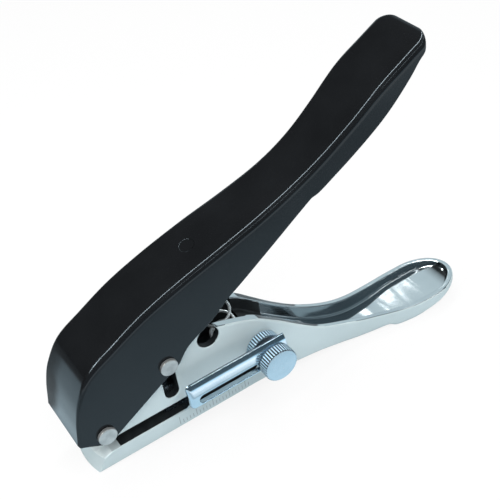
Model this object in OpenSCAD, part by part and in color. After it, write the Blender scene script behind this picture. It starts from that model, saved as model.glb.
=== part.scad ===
// Single hole punch of the pliers type: a plated die-cast frame with an open paper throat, a black
// channel lever on a pivot pin, a straight-guided punch over a die, and a paper stop on a clamp screw.
// Millimetres. X runs from the nose to the handles, Z along the punch, Y = 0 is the mid-plane.
// Z = 0 is the flat underside of the jaw, and X = 0 lies below the pivot pin.

/* [Frame] */
// Half of the width over the jaw walls
jaw_half = 6.8; // [6.4:0.1:7.2]
// Height of the paper throat's floor above the underside
throat_floor = 4.9; // [4:0.1:6]
// Clear height of the paper throat
throat_gap = 4.2; // [3.6:0.1:4.4]
// Where the throat ends, measured from the pivot
throat_depth = 44.5; // [42:0.5:46]
// How far the lower jaw reaches in front of the pivot
nose_reach = 5.05; // [4.5:0.05:5.5]
// Radius of the nose's bow in plan
nose_bow = 25.8; // [20:0.1:40]
// Rise of the nose's slanted front face
nose_front = 3.4; // [2:0.1:3.8]
// How far back the slanted front face runs
nose_run = 1.9; // [1:0.1:3]
// Length of the lead-in ramp behind the front face
ramp_length = 3.6; // [2:0.1:6]
// Radius of the boss around the pivot pin
boss_r = 4.9; // [4:0.1:5]
// Height of the tower over the punch
tower_top = 28.8; // [28.2:0.1:30]
// Wall beside the spring pocket
pocket_wall = 2; // [1.6:0.1:2.2]
// Wall between the punch's bore and the spring pocket
bore_wall = 3.8; // [3:0.1:4.2]
// Floor of the spring pocket
pocket_floor = 13.6; // [12.8:0.1:15]
// Radius of the round notch in both walls
notch_r = 3.1; // [2:0.1:3.6]
// Place of the notch along the frame
notch_x = 32.25; // [31:0.05:34]
// Height of the notch
notch_z = 24.5; // [23.5:0.1:25.5]

/* [Handle of the frame] */
// Length from the pivot to the end of the spoon
spoon_end = 115.3; // [112:0.1:125]
// Half of the spoon's largest width
spoon_half = 8.66; // [7.6:0.02:11]
// Half of the neck's width
neck_half = 5.75; // [5:0.05:6.2]
// Rim wall of the trough at the spoon
rim_wall = 1.7; // [1.2:0.1:2.2]
// Depth of the trough at the spoon
trough_depth = 2.7; // [1.8:0.1:3.2]

/* [Lever] */
// Half of the lever's width at the nose and the grip
lever_half = 9.2; // [9.1:0.1:11]
// How much narrower each side is at the waist
waist_in = 1; // [0:0.05:1.4]
// Wall of the cheeks
cheek_wall = 1.9; // [1.3:0.1:1.9]
// Wall of the top
top_wall = 2; // [1.5:0.1:2.4]
// Radius along the top edges
edge_r = 1.9; // [0.8:0.1:2.6]
// Radius of the cheeks' round end below the pivot pin
cheek_end = 3.35; // [3:0.05:3.6]
// Radius of the tail's corners
tail_r = 3.6; // [2:0.1:5]
// How far in from the sides the rounded end of the tail reaches
tail_in = 5.4; // [3:0.1:6.5]
// Largest swing of the lever, degrees
lever_travel = 23.7; // [15:0.1:23.8]

/* [Pins and punch] */
// Height of the pivot pin
pivot_z = 14.2; // [14.1:0.1:14.6]
// Radius of the pivot pin
pivot_r = 1.3; // [1.1:0.05:1.4]
// Radius of the pivot pin's heads
pivot_head = 2.5; // [2.3:0.05:3]
// Distance from the pivot to the punch pin at rest
pin_x = 19.45; // [19:0.05:20]
// Radius of the punch
punch_r = 3; // [2.4:0.05:3.2]
// How far the punch reaches above the middle of its pin
punch_over = 3.25; // [2.4:0.05:3.6]
// Length of the guide bush
guide_long = 4.5; // [3.5:0.1:5]
// Height of the punch pin at rest
cross_z = 25.05; // [24.8:0.05:25.3]
// Radius of the punch pin
cross_r = 1.4; // [1.2:0.05:1.5]
// How far the slot for the punch pin goes on below the pin's lowest place
slot_spare = 2.9; // [1:0.1:3.2]
// Radius of the punch pin's heads
cross_head = 2.36; // [2.1:0.02:2.5]
// How far both pins stand out of the cheeks
pin_out = 1; // [0.5:0.1:1.2]
// Radius of the guide and die bushes
bush_r = 4.5; // [4:0.1:4.8]
// Running clearance on a radius
run = 0.05; // [0.03:0.01:0.08]
// Free room around moving pieces
free = 0.3; // [0.2:0.05:0.35]

/* [Return spring] */
// Wire diameter
wire = 0.8; // [0.6:0.05:1]
// Mean radius of the coils
coil_r = 3.6; // [3.2:0.05:3.7]
// Number of coils
coils = 8; // [5:0.5:9]
// Where the spring stands in the pocket
spring_x = 40.3; // [39.8:0.1:40.6]
// Where the stud sits on the lever's top
stud_x = 34.7; // [33.5:0.1:36]
// Radius of the stud and of the post inside the spring
stud_r = 1.85; // [1.4:0.05:2.1]

/* [Paper stop] */
// Height of the clamp screw
screw_z = 12.45; // [12.2:0.05:12.6]
// Distance from the pivot to the clamp screw
screw_x = 46.35; // [46.2:0.05:48]
// Radius of the clamp screw
screw_r = 1.1; // [0.9:0.05:1.15]
// Radius of the knurled knob and nut
knob_r = 4.8; // [4.5:0.1:5]
// Number of grooves in the knurl
knurls = 46; // [30:1:60]
// Radius of the knurl's grooves
knurl_r = 0.3; // [0.2:0.01:0.32]
// Depth of the knurl's grooves
knurl_deep = 0.18; // [0.1:0.01:0.2]
// Thickness of the knob
knob_t = 3.2; // [2.5:0.1:4]
// Thickness of the nut's knurled part
nut_t = 2.6; // [2:0.1:3]
// Left end of the rail at rest
rail_x = 21.45; // [21.3:0.05:22]
// Right end of the rail at rest
rail_end = 50.8; // [49.5:0.1:53]
// Lower edge of the rail
rail_low = 9.6; // [9.5:0.05:10]
// Upper edge of the rail
rail_high = 17.5; // [17:0.1:18]
// Depth of the rail's channel
rail_d = 2; // [1.6:0.1:2.4]
// Radius of the rail's bends
rail_bend = 1.8; // [1.2:0.1:1.9]
// Sheet thickness of the rail
rail_t = 0.8; // [0.6:0.05:0.9]
// Distance from the mid-plane to the rail's face
rail_face = 13.1; // [13:0.1:14]
// Half of the slot's width
slot_half = 1.3; // [1.25:0.05:1.5]

/* [Hidden] */
$fn = 64;
big = 200;
throat_top = throat_floor + throat_gap;
pivot = [0, pivot_z];
cross_at = [pin_x, cross_z];
arm = cross_at - pivot;
arm_angle = atan2(arm[1], arm[0]);
// The punch pin goes straight down, so the pivot pin slides forward in its slot by this much
pivot_shift = norm(arm) * cos(arm_angle - lever_travel) - pin_x;
stroke = arm[1] - norm(arm) * sin(arm_angle - lever_travel);
// How far the punch pin sways to the right in mid-stroke
sway = norm(arm) * cos(arm_angle - lever_travel / 2) - pin_x - pivot_shift / 2;
punch_x = pin_x + sway / 2;
pin_half = lever_half + pin_out;
punch_rest = throat_top + 0.1;
punch_long = cross_z + punch_over - punch_rest;
guide_top = throat_top + guide_long;
slot_low = cross_z - stroke - slot_spare;
pocket_half = jaw_half - pocket_wall;
pocket_right = 45;
spoon_c = spoon_end - 12;
spoon_long = spoon_end - spoon_c;
trough_end = spoon_end - rim_wall;
trough_long = trough_end - spoon_c;

// Rim of the frame, from the boss over the tower, the hump and the neck to the spoon
rim_points = [[-6, 19], [2, 19], [9.5, 22.4], [14.5, 26.8], [pin_x, tower_top], [26, 28.2], [31.5, 27.2],
    [38.5, 25.1], [46.5, 21.6], [51.5, 17.6], [58.5, 11.3], [64.5, 6.6], [70.5, 3.2], [78.5, -0.1],
    [86.5, -2.1], [94.5, -3.4], [102.5, -3.9], [spoon_end, -3.8]];
// Underside: flat below the jaw, then down to the spoon's foot with its small step
foot_points = [[-6, 0], [38, 0], [46, 0], [51.5, -1], [58.5, -2], [64.5, -2.9], [70.5, -4.6],
    [76.5, -6.2], [82.5, -7], [87.8, -7.2], [90, -8.4], [94.5, -8.7], [98.5, -8.5], [104, -7.7],
    [spoon_end, -5.6]];
// Half width in plan, without the round end of the spoon
half_points = [[-6, jaw_half], [40, jaw_half], [48, jaw_half], [54.5, neck_half + 0.3],
    [64.5, neck_half + 0.35], [74, neck_half], [82, neck_half + 0.55], [90.5, spoon_half - 1.05],
    [97, spoon_half - 0.2], [spoon_c, spoon_half], [spoon_end, spoon_half]];
// Depth of the trough below the rim, and the wall beside it
depth_points = [[40, 4.6], [60, 4.6], [86, 4.2], [97, trough_depth + 0.3], [106, trough_depth],
    [spoon_end, trough_depth - 0.7]];
wall_points = [[40, 2.9], [49, 2.6], [56, 2], [70, rim_wall + 0.1], [spoon_end, rim_wall]];
// Radius of the lower edges
edge_points = [[-6, 0.5], [46, 0.5], [70, 1], [86, 1.2], [spoon_end, 0.8]];

// Top line of the lever from the nose over the back to the tail
top_points = [[-8, 12.4], [-7.15, 16.2], [-5.95, 22.2], [-3.9, 28.1], [0.4, 34.5], [7.2, 38.5], [16, 42.9],
    [26.5, 46.6], [38, 49.8], [50, 52.9], [60.5, 56.3], [69.5, 60.5], [78, 66], [87, 72.6], [94.5, 76.7],
    [98.5, 78.8], [101.4, 80.2], [103, 80.75], [103.5, 80]];
// Line below the cheeks' lower edges, paired with the top line
under_points = [[-5.6, 9.8], [-3.4, 8.8], [0, 8.4], [3, 9], [7.5, 11], [13, 14], [21.5, 18.8], [32, 26],
    [43.5, 34], [55.5, 41.4], [66, 47], [74, 51.6], [82.5, 57.2], [91.5, 64.4], [97.4, 68.9], [100, 71],
    [101.4, 72.8], [102, 73.8], [102.3, 74.4]];
// Share of the waist along the lever
waist_points = [[-20, 0], [36, 0], [48, 0.4], [62, 1], [72, 0.85], [86, -0.1], [98, -0.05], [120, 0]];
// Corner where the cheeks' straight edge ends
cheek_tip = [22.65, 23.6];

function span(p, x, i = 0) = i >= len(p) - 2 || x < p[i + 1][0] ? i : span(p, x, i + 1);
function slope(p, i) = let(a = max(i - 1, 0), b = min(i + 1, len(p) - 1))
    (p[b][1] - p[a][1]) / (p[b][0] - p[a][0]);
// Smooth value at x through points given as [x, value]
function curve(p, x) = let(i = span(p, x), h = p[i + 1][0] - p[i][0], t = (x - p[i][0]) / h)
    p[i][1] * (1 + 2 * t) * pow(1 - t, 2) + slope(p, i) * h * t * pow(1 - t, 2)
    + p[i + 1][1] * t * t * (3 - 2 * t) + slope(p, i + 1) * h * t * t * (t - 1);
// Smooth path through points in the plane, with n steps in each stretch
function knot(p, i) = p[max(0, min(i, len(p) - 1))];
function between(p, i, t) = 0.5 * (2 * knot(p, i) + (knot(p, i + 1) - knot(p, i - 1)) * t
    + (2 * knot(p, i - 1) - 5 * knot(p, i) + 4 * knot(p, i + 1) - knot(p, i + 2)) * t * t
    + (3 * knot(p, i) - knot(p, i - 1) - 3 * knot(p, i + 1) + knot(p, i + 2)) * t * t * t);
function path(p, n) = concat([for (i = [0:len(p) - 2], k = [0:n - 1]) between(p, i, k / n)],
    [p[len(p) - 1]]);
function unit(v) = v / norm(v);
function flat(list) = [for (a = list, b = a) b];
function arc(c, r, a, b, n) = [for (i = [0:n]) c + r * [cos(a + (b - a) * i / n), sin(a + (b - a) * i / n)]];
// A half outline of [y, z] points and its mirror image, as one ring at x
function mirrored(x, half) = concat([for (p = half) [x, -p[0], p[1]]],
    [for (i = [len(half) - 1:-1:0]) [x, half[i][0], half[i][1]]]);

// A solid through rings with the same number of points
module loft(rings) {
    m = len(rings[0]);
    n = len(rings);
    sides = [for (i = [0:n - 2], j = [0:m - 1]) let(k = (j + 1) % m)
        [[i * m + j, (i + 1) * m + k, i * m + k], [i * m + j, (i + 1) * m + j, (i + 1) * m + k]]];
    ends = [[for (j = [0:m - 1]) j], [for (j = [m - 1:-1:0]) (n - 1) * m + j]];
    polyhedron(flat(rings), concat(flat(sides), ends), convexity = 10);
}

// An outline in X and Z with a depth in Y
module side(y0, y1) {
    translate([0, y1, 0])
        rotate([90, 0, 0])
            linear_extrude(y1 - y0)
                children();
}

// An outline in Y and Z with a length in X
module along_x(x0, x1) {
    translate([x0, 0, 0])
        rotate([90, 0, 90])
            linear_extrude(x1 - x0)
                children();
}

// A round bar across the tool at a point in X and Z
module bar_y(p, r, y0, y1) {
    translate([p[0], y1, p[1]])
        rotate([90, 0, 0])
            cylinder(r = r, h = y1 - y0);
}

// A disc across the tool with a bevel on both rims
module disc_y(p, r, y0, y1, bevel) {
    bar_y(p, r, y0 + bevel, y1 - bevel);
    translate([p[0], y1, p[1]])
        rotate([90, 0, 0])
            cylinder(r1 = r - bevel, r2 = r, h = bevel);
    translate([p[0], y0 + bevel, p[1]])
        rotate([90, 0, 0])
            cylinder(r1 = r, r2 = r - bevel, h = bevel);
}

// A bevelled disc with a straight knurl
module knurled_disc(p, r, y0, y1, bevel) {
    difference() {
        disc_y(p, r, y0, y1, bevel);
        for (i = [0:knurls - 1])
            bar_y(p + (r + knurl_r - knurl_deep) * [cos(360 * i / knurls), sin(360 * i / knurls)], knurl_r,
                y0 - 1, y1 + 1);
    }
}

// Slot across the tool between two points, with round ends
module slot_y(a, b, r, y0, y1) {
    d = b - a;
    bar_y(a, r, y0, y1);
    bar_y(b, r, y0, y1);
    translate([a[0], y0, a[1]])
        rotate([0, -atan2(d[1], d[0]), 0])
            translate([0, 0, -r])
                cube([norm(d), y1 - y0, 2 * r]);
}

function round_end(x, long) = x <= spoon_c ? 1 : sqrt(max(0, 1 - pow((x - spoon_c) / long, 2)));
function frame_ring(x) = let(w = max(curve(half_points, x) * round_end(x, spoon_long), 1.2),
    zt = curve(rim_points, x), zb = curve(foot_points, x), r = curve(edge_points, x))
    mirrored(x, concat([[w, zt]],
        [for (a = [0:22.5:90]) [w - r * (1 - cos(a)), zb + r * (1 - sin(a))]]));
function trough_ring(x) = let(w = max((curve(half_points, x) - curve(wall_points, x))
    * round_end(x, trough_long), 0.8), zt = curve(rim_points, x), zf = zt - curve(depth_points, x)
    * (x < spoon_c ? 1 : 0.55 + 0.45 * round_end(x, trough_long)), r = min(1.2, w - 0.4))
    mirrored(x, concat([[w, zt + 4]],
        [for (a = [0:30:90]) [w - r * (1 - cos(a)), zf + r * (1 - sin(a))]]));
// Stations along the frame, closer where it curves and round the end
frame_x = concat([-6, 2], [for (x = [4.5:2.5:48]) x], [for (x = [50:2.5:spoon_c - 0.6]) x],
    [for (a = [0:10:80]) spoon_c + spoon_long * sin(a)], [spoon_end]);
trough_x = concat([for (x = [pocket_right - 1.5:2.5:spoon_c - 0.6]) x],
    [for (a = [0:10:80]) spoon_c + trough_long * sin(a)], [trough_end]);

// In front of the slanted nose, and the throat with its ramp
module throat() {
    nose = [-nose_reach, 0];
    lip = nose + [nose_run, nose_front];
    side(-big, big)
        polygon([[-20, -5], nose + [-3, -5], nose, lip, [lip[0] + ramp_length, throat_floor],
            [throat_depth - 1, throat_floor], [throat_depth, throat_floor + 1],
            [throat_depth, throat_top - 1], [throat_depth - 1, throat_top], [-20, throat_top]]);
    // Bow of the slanted front face
    lean = atan2(nose_run, nose_front);
    difference() {
        translate([-20, -big / 2, -1])
            cube([20, big, throat_floor + 1]);
        translate([-nose_reach + nose_bow / cos(lean), 0, 0])
            rotate([0, lean, 0])
                translate([0, 0, -big / 2])
                    cylinder(r = nose_bow, h = big);
    }
    // Outside the round boss
    difference() {
        translate([-20, -big / 2, throat_top - 1])
            cube([20, big, 40]);
        bar_y(pivot, boss_r, -big, big);
        translate([-boss_r * 0.35, -big, throat_top - 2])
            cube([boss_r, 2 * big, pivot_z - throat_top + 2]);
    }
}

// Deep pocket for the return spring, with round corners
module spring_pocket() {
    left = punch_x + punch_r + free + bore_wall;
    r = 1.2;
    translate([left, r - pocket_half, pocket_floor])
        cube([pocket_right - left, 2 * (pocket_half - r), big]);
    translate([left + r, -pocket_half, pocket_floor])
        cube([pocket_right - left - 2 * r, 2 * pocket_half, big]);
    for (x = [left + r, pocket_right - r], y = [-1, 1])
        translate([x, y * (pocket_half - r), pocket_floor])
            cylinder(r = r, h = big);
}

module frame() {
    color("silver")
        difference() {
            loft([for (x = frame_x) frame_ring(x)]);
            loft([for (x = trough_x) trough_ring(x)]);
            throat();
            spring_pocket();
            slot_y(pivot - [pivot_shift, 0], pivot, pivot_r + run, -big, big);
            // Seats of the die and the guide, and the free bore above the guide
            translate([punch_x, 0, -1])
                cylinder(r = bush_r, h = guide_top + 1);
            translate([punch_x, 0, guide_top - 0.5])
                cylinder(r = punch_r + free, h = big);
            // Upright slot for the punch pin in both walls, and the round notch behind it
            slot_y([punch_x, slot_low], [punch_x, cross_z + 0.1], cross_r + sway / 2 + free + 0.1,
                -big, big);
            bar_y([notch_x, notch_z], notch_r, -big, big);
            // Thread of the clamp screw
            bar_y([screw_x, screw_z], screw_r + run, -big, 1);
        }
    // Post that holds the foot of the spring
    color("silver")
        translate([spring_x, 0, pocket_floor - 1])
            cylinder(r = stud_r, h = 3.5);
}

lever_top = path(top_points, 4);
lever_under = path(under_points, 4);
lever_n = len(lever_top);
tail_x = max([for (p = lever_top) p[0]]);
function corner_in(x) = let(u = max(0, x - tail_x + tail_r) / tail_r)
    tail_in * (1 - sqrt(max(0, 1 - u * u)));
function lever_w(x) = lever_half - waist_in * curve(waist_points, x) - corner_in(x);
function lever_normal(i) = let(d = unit(lever_top[min(i + 1, lever_n - 1)] - lever_top[max(i - 1, 0)]))
    [d[1], -d[0]];
// Ring of the lever: from the top line down towards the paired lower line
function lever_ring(i, w, from, r, reach) = let(d = unit(lever_under[i] - from),
    l = norm(lever_under[i] - from) + reach,
    half = concat([for (a = [90:-22.5:0]) [w - r * (1 - cos(a)), r * (1 - sin(a))]], [[w, l]]))
    concat([for (p = half) [from[0] + d[0] * p[1], -p[0], from[1] + d[1] * p[1]]],
        [for (k = [len(half) - 1:-1:0]) let(p = half[k])
            [from[0] + d[0] * p[1], p[0], from[1] + d[1] * p[1]]]);

// Everything below the cheeks' lower edges
module under_cheeks() {
    side(-big, big)
        polygon(concat([[-30, 22], [-8.6, 16.2], [-7.3, 14.55]],
            arc(pivot, cheek_end, 241, 300, 6), [cheek_tip],
            path([[24.85, 26.6], [27.5, 28.5], [31.7, 30.5], [34.3, 32.1], [38.5, 35.4], [41.3, 37]], 3),
            [[66, 51.2], [67.6, 51.4]],
            path([[69.8, 52.4], [78.2, 57.3], [87.8, 64.2], [95.9, 71.6], [99.8, 75.9], [104.5, 79.2]], 3),
            [[140, 92], [140, -20], [-30, -20]]));
}

module lever() {
    color([0.09, 0.09, 0.1])
        difference() {
            loft([for (i = [0:lever_n - 1])
                lever_ring(i, lever_w(lever_top[i][0]), lever_top[i], edge_r, 0)]);
            loft([for (i = [0:lever_n - 11]) lever_ring(i, lever_w(lever_top[i][0]) - cheek_wall,
                lever_top[i] + lever_normal(i) * top_wall, edge_r / 2, 3)]);
            under_cheeks();
            bar_y(pivot, pivot_r + run, -big, big);
            bar_y(cross_at, cross_r, -big, big);
            stud_place()
                translate([0, 0, -8])
                    cylinder(r = stud_r, h = 12);
        }
}

// A riveted pin with bevelled heads outside the cheeks
module riveted_pin(p, r, head) {
    bar_y(p, r, -pin_half + 0.3, pin_half - 0.3);
    disc_y(p, head, -pin_half, -lever_half - 0.1, 0.25);
    disc_y(p, head, lever_half + 0.1, pin_half, 0.25);
}

module pivot_pin() {
    color("gainsboro")
        riveted_pin(pivot, pivot_r, pivot_head);
}

module punch_pin() {
    color("gainsboro")
        riveted_pin(cross_at, cross_r, cross_head);
}

module punch() {
    color("slategray")
        difference() {
            translate([punch_x, 0, punch_rest])
                cylinder(r = punch_r, h = punch_long);
            // Cross slot, with room for the pin's sway and its lead in mid-stroke
            slot_y([punch_x - sway / 2, cross_z + 0.07], [punch_x + sway / 2, cross_z + 0.07],
                cross_r + free - 0.05, -big, big);
            // Hollow-ground cutting end
            translate([punch_x, 0, punch_rest - 0.1])
                cylinder(r1 = punch_r - 0.25, r2 = 0.5, h = 1.5);
        }
}

module bush(z0, z1, relief_h) {
    translate([punch_x, 0, 0])
        difference() {
            translate([0, 0, z0])
                cylinder(r = bush_r, h = z1 - z0);
            cylinder(r = punch_r + run, h = big);
            cylinder(r = punch_r + 0.5, h = z0 + relief_h);
        }
}

module guide_bush() {
    color("dimgray")
        bush(throat_top, guide_top, 0.4);
}

module die_bush() {
    color("dimgray")
        bush(0.3, throat_floor, 2);
}

// Place of the stud on the lever's top
stud_i = [for (i = [0:lever_n - 2]) if (lever_top[i][0] <= stud_x && lever_top[i + 1][0] > stud_x) i][0];
stud_step = lever_top[stud_i + 1] - lever_top[stud_i];
stud_top = lever_top[stud_i] + stud_step * (stud_x - lever_top[stud_i][0]) / stud_step[0];
stud_lean = -atan2(stud_step[1], stud_step[0]);
module stud_place() {
    translate([stud_top[0], 0, stud_top[1]])
        rotate([0, stud_lean, 0])
            children();
}

module spring_stud() {
    color("black")
        stud_place() {
            translate([0, 0, -top_wall - 4])
                cylinder(r = stud_r, h = top_wall + 4 - 0.1);
            translate([0, 0, -top_wall - 1.2])
                cylinder(r = stud_r + 0.8, h = 1);
        }
}

// Return spring: one tube from the pocket's floor to the lever's inside
spring_foot = [spring_x, pocket_floor];
spring_head = stud_top + [-sin(stud_lean), -cos(stud_lean)] * (top_wall + 0.35);
spring_line_dir = unit(spring_head - spring_foot);
spring_long = norm(spring_head - spring_foot);
spring_lean = atan2(spring_line_dir[0], spring_line_dir[1]);
turn_steps = 8;
coil_n = coils * turn_steps;
coil_low = 2 * wire + coil_r * abs(sin(spring_lean));
coil_high = spring_long - 2 * wire - coil_r * abs(sin(spring_lean - stud_lean));
function coil_at(a, z) = [coil_r * cos(a), coil_r * sin(a), z];
coil_points = concat(
    [coil_at(0, coil_low - wire * 1.5)],
    [for (i = [0:coil_n]) coil_at(360 * i / turn_steps, coil_low + (coil_high - coil_low) * i / coil_n)],
    [coil_at(360 * coils, coil_high + wire * 1.5)]);
function tube_ring(line, i, r) = let(t = unit(line[min(i + 1, len(line) - 1)] - line[max(i - 1, 0)]),
    out = unit([line[i][0], line[i][1], 0]), s = unit(cross(t, out)), o = cross(s, t))
    [for (k = [0:5]) line[i] + r * (cos(60 * k) * o + sin(60 * k) * s)];
coil_gap = min([for (i = [0:len(coil_points) - 1], j = [0:len(coil_points) - 1])
    if (abs(i - j) >= turn_steps / 2) norm(coil_points[i] - coil_points[j])]) - wire;
assert(coil_gap > 0.2, "The coils touch: use fewer coils or a thinner wire");

module return_spring() {
    color("lightsteelblue")
        translate([spring_foot[0], 0, spring_foot[1]])
            rotate([0, spring_lean, 0])
                loft([for (i = [0:len(coil_points) - 1]) tube_ring(coil_points, i, wire / 2)]);
}

// Channel section of the paper stop, with rounded bends
module rail_outline(inset) {
    r = rail_bend - inset;
    y0 = -rail_face + inset;
    y1 = -rail_face + rail_d + (inset > 0 ? 1 : 0);
    z0 = rail_low + inset;
    z1 = rail_high - inset;
    polygon(concat([[y1, z1], [y1, z0]], arc([y0 + r, z0 + r], r, 270, 180, 10),
        arc([y0 + r, z1 - r], r, 180, 90, 10)));
}

module stop_rail() {
    low = throat_floor + 0.5;
    high = throat_top - 0.6;
    tab_in = jaw_half - 2.3;
    color("powderblue")
        difference() {
            union() {
                difference() {
                    along_x(rail_x, rail_end)
                        rail_outline(0);
                    along_x(rail_x + rail_t, rail_end + 1)
                        rail_outline(rail_t);
                }
                // End tab that reaches into the throat and stops the paper
                along_x(rail_x, rail_x + rail_t)
                    polygon([[-rail_face + rail_bend, rail_high], [-rail_face + rail_d, rail_high],
                        [-rail_face + 2.3, screw_z + 1.75], [-jaw_half - 0.4, high], [-tab_in, high],
                        [-tab_in, low], [-jaw_half - 0.7, low], [-rail_face + rail_bend, rail_low]]);
            }
            slot_y([rail_x + 2.5 + slot_half, screw_z], [screw_x + 0.3, screw_z], slot_half,
                -rail_face - 1, -rail_face + 1.2);
        }
}

module clamp_screw() {
    p = [screw_x, screw_z];
    color("lightblue") {
        knurled_disc(p, knob_r, -rail_face - 0.1 - knob_t, -rail_face - 0.1, 0.4);
        bar_y(p, screw_r, -rail_face - 1, 0);
    }
}

module thumb_nut() {
    p = [screw_x, screw_z];
    nut_back = jaw_half + 0.12;
    color("lightblue")
        difference() {
            union() {
                knurled_disc(p, knob_r, -nut_back - nut_t, -nut_back, 0.3);
                bar_y(p, knob_r - 0.4, -rail_face + rail_d + 0.1, -nut_back - 1);
            }
            bar_y(p, screw_r + run, -big, big);
        }
}

frame();
lever();
pivot_pin();
punch_pin();
punch();
guide_bush();
die_bush();
return_spring();
spring_stud();
stop_rail();
clamp_screw();
thumb_nut();
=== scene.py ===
import bmesh
import bpy
import math
from mathutils import Matrix, Vector


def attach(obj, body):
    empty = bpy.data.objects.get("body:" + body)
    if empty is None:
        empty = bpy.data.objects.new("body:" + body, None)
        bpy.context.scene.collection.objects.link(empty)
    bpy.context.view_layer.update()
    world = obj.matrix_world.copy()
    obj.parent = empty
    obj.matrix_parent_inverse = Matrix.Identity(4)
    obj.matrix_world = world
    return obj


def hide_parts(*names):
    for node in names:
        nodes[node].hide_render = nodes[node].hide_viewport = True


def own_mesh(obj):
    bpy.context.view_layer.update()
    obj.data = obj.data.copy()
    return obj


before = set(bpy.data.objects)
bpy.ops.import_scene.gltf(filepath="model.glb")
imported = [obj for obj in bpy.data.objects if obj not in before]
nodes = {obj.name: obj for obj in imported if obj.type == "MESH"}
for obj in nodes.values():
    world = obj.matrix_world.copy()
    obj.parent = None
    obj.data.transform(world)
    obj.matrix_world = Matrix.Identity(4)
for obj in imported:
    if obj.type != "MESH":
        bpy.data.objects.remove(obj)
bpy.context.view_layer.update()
mm = 0.001
print("hole punch: frame loaded,", len(nodes), "nodes")


def sinOf(angle):
    return math.sin(math.radians(angle))


def cosOf(angle):
    return math.cos(math.radians(angle))


# smooth value at x through points given as (x, value)
def curveAt(points, x):
    x = min(max(x, points[0][0]), points[-1][0])
    i = 0
    while i < len(points) - 2 and x >= points[i + 1][0]:
        i += 1

    def slope(k):
        a, b = max(k - 1, 0), min(k + 1, len(points) - 1)
        return (points[b][1] - points[a][1]) / (points[b][0] - points[a][0])

    h = points[i + 1][0] - points[i][0]
    t = (x - points[i][0]) / h
    return (points[i][1] * (1 + 2 * t) * (1 - t) ** 2 + slope(i) * h * t * (1 - t) ** 2
            + points[i + 1][1] * t * t * (3 - 2 * t) + slope(i + 1) * h * t * t * (t - 1))


def smoothPath(points, steps):
    line = []
    knots = [Vector(p) for p in points]
    last = len(knots) - 1
    for i in range(last):
        a, b, c, d = knots[max(i - 1, 0)], knots[i], knots[i + 1], knots[min(i + 2, last)]
        for k in range(steps):
            t = k / steps
            line.append(0.5 * (2 * b + (c - a) * t + (2 * a - 5 * b + 4 * c - d) * t * t
                               + (3 * b - a - 3 * c + d) * t ** 3))
    line.append(knots[last])
    return line


def arcPoints(centre, radius, start, stop, steps):
    turn = [start + (stop - start) * k / steps for k in range(steps + 1)]
    return [(centre[0] + radius * cosOf(a), centre[1] + radius * sinOf(a)) for a in turn]


# all sizes are in millimetres until the mesh is made
def meshPiece(name, points, faces, finish=None):
    weld, sliver = 0.000002, 0.000001
    mesh = bpy.data.meshes.new(name)
    mesh.from_pydata([Vector(p) * mm for p in points], [], faces)
    bm = bmesh.new()
    bm.from_mesh(mesh)
    bmesh.ops.remove_doubles(bm, verts=bm.verts, dist=weld)
    bmesh.ops.dissolve_degenerate(bm, edges=bm.edges, dist=sliver)
    bmesh.ops.recalc_face_normals(bm, faces=bm.faces)
    bm.to_mesh(mesh)
    bm.free()
    piece = bpy.data.objects.new(name, mesh)
    bpy.context.scene.collection.objects.link(piece)
    if finish:
        mesh.materials.append(finish)
    return piece


def loftPiece(name, rings, finish=None):
    count = len(rings[0])
    points = [p for ring in rings for p in ring]
    faces = []
    for i in range(len(rings) - 1):
        for j in range(count):
            k = (j + 1) % count
            faces.append((i * count + j, i * count + k, (i + 1) * count + k, (i + 1) * count + j))
    faces.append(tuple(range(count)))
    faces.append(tuple(range(len(points) - 1, len(points) - count - 1, -1)))
    return meshPiece(name, points, faces, finish)


# turned about a line along Y; a third number in a profile row is its share of the rim's cut
def turnedPiece(name, centre, profile, steps, finish, rim=None):
    points, faces = [], []
    n = len(profile)
    for s in range(steps):
        a = 2 * math.pi * s / steps
        for row in profile:
            r = row[0] - (rim(a) * row[2] if rim and len(row) > 2 else 0)
            points.append((centre[0] + r * math.cos(a), row[1], centre[1] + r * math.sin(a)))
        t = (s + 1) % steps
        faces += [(s * n + k, s * n + k + 1, t * n + k + 1, t * n + k) for k in range(n - 1)]
    return meshPiece(name, points, faces, finish)


def offsetOutline(outline, by):
    n, sharpest = len(outline), 0.3
    around = [(outline[i], outline[(i + 1) % n]) for i in range(n)]
    turn = 1 if sum(a[0] * b[1] - b[0] * a[1] for a, b in around) > 0 else -1
    moved = []
    for i in range(n):
        p, q, r = (Vector(outline[k % n]) for k in (i - 1, i, i + 1))
        a, b = (q - p).normalized(), (r - q).normalized()
        out = (Vector((a.y, -a.x)) + Vector((b.y, -b.x))) * turn
        moved.append(q + out * (by / max(sharpest, 0.5 * out.length_squared)))
    return moved


# cutter through the tool along Y, wider at y = +-half so that the cut gets a rounded edge there
def cutterAcross(outline, half, rounding=0.0):
    past, slip = 3, 0.01
    levels = [(-half - past, rounding)]
    if rounding:
        arc = [(half - rounding * (1 - sinOf(t)) + slip, rounding * (1 - cosOf(t)))
               for t in (90, 67.5, 45, 22.5, 0)]
        levels += [(-y, o) for y, o in arc] + [(y, o) for y, o in reversed(arc)]
    levels.append((half + past, rounding))
    return loftPiece("cutter", [[(p[0], y, p[1]) for p in offsetOutline(outline, o)] for y, o in levels])


def circleOutline(centre, radius, steps=48):
    return arcPoints(centre, radius, 0, 360, steps)[:-1]


def slotOutline(a, b, radius, steps=20):
    along = math.degrees(math.atan2(b[1] - a[1], b[0] - a[0]))
    return (arcPoints(b, radius, along - 90, along + 90, steps)
            + arcPoints(a, radius, along + 90, along + 270, steps))


def uprightCutter(outline, low, high):
    return loftPiece("cutter", [[(p[0], p[1], z) for p in outline] for z in (low, high)])


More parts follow.
